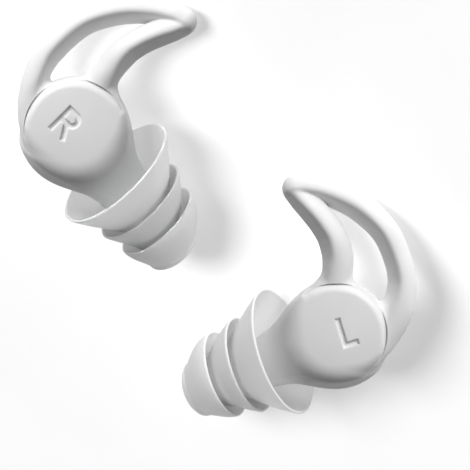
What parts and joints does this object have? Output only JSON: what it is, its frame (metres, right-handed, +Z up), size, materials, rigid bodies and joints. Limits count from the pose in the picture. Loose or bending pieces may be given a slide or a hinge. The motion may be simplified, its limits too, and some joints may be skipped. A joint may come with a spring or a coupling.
{
  "type": "ear plugs",
  "caption": "Pair of mirrored soft ear plugs, each a round head with a looped wing, a tapered stem and a flanged tip of thin conical cups.",
  "frame": {"origin": "centre of the pair on the table it lies on", "axes": "+Z up from the table; both wings reach towards -Y and both ear tips towards +Y; the right plug is at +X and the left plug at -X"},
  "size_m": [0.0428, 0.0436, 0.0128],
  "materials": {
    "white_silicone": "satin moulded silicone",
    "bare_aluminium": "turned",
    "steel_mesh": "fine mesh"
  },
  "bodies": {
    "right_plug": {"right_body": "white_silicone", "right_face_cap": "white_silicone", "right_sound_tube": "bare_aluminium", "right_sound_filter": "bare_aluminium", "right_nose_screen": "steel_mesh"},
    "right_wing_body": {"right_wing": "white_silicone"},
    "right_tip_body": {"right_ear_tip": "white_silicone"},
    "left_plug": {"left_body": "white_silicone", "left_face_cap": "white_silicone", "left_sound_tube": "bare_aluminium", "left_sound_filter": "bare_aluminium", "left_nose_screen": "steel_mesh"},
    "left_wing_body": {"left_wing": "white_silicone"},
    "left_tip_body": {"left_ear_tip": "white_silicone"}
  },
  "joints": [
    {"name": "right_wing_turn", "type": "hinge", "parent": "right_plug", "child": "right_wing_body", "pos_m": [0.01459, -0.01009, 0.00946], "axis": [-0.0201, -0.4577, 0.8889], "range_deg": [-15, 15]},
    {"name": "right_tip_pull", "type": "slide", "parent": "right_plug", "child": "right_tip_body", "axis": [-0.6657, 0.738, -0.1104], "range_m": [0, 0.008]},
    {"name": "left_wing_turn", "type": "hinge", "parent": "left_plug", "child": "left_wing_body", "pos_m": [-0.01459, 0.00596, 0.00946], "axis": [0.0201, -0.4577, 0.8889], "range_deg": [-15, 15]},
    {"name": "left_tip_pull", "type": "slide", "parent": "left_plug", "child": "left_tip_body", "axis": [0.6657, 0.738, -0.1104], "range_m": [0, 0.008]},
    {"name": "left_plug_apart", "type": "slide", "parent": "right_plug", "child": "left_plug", "axis": [-0.8761, 0.4821, 0], "range_m": [0, 0.03]}
  ]
}
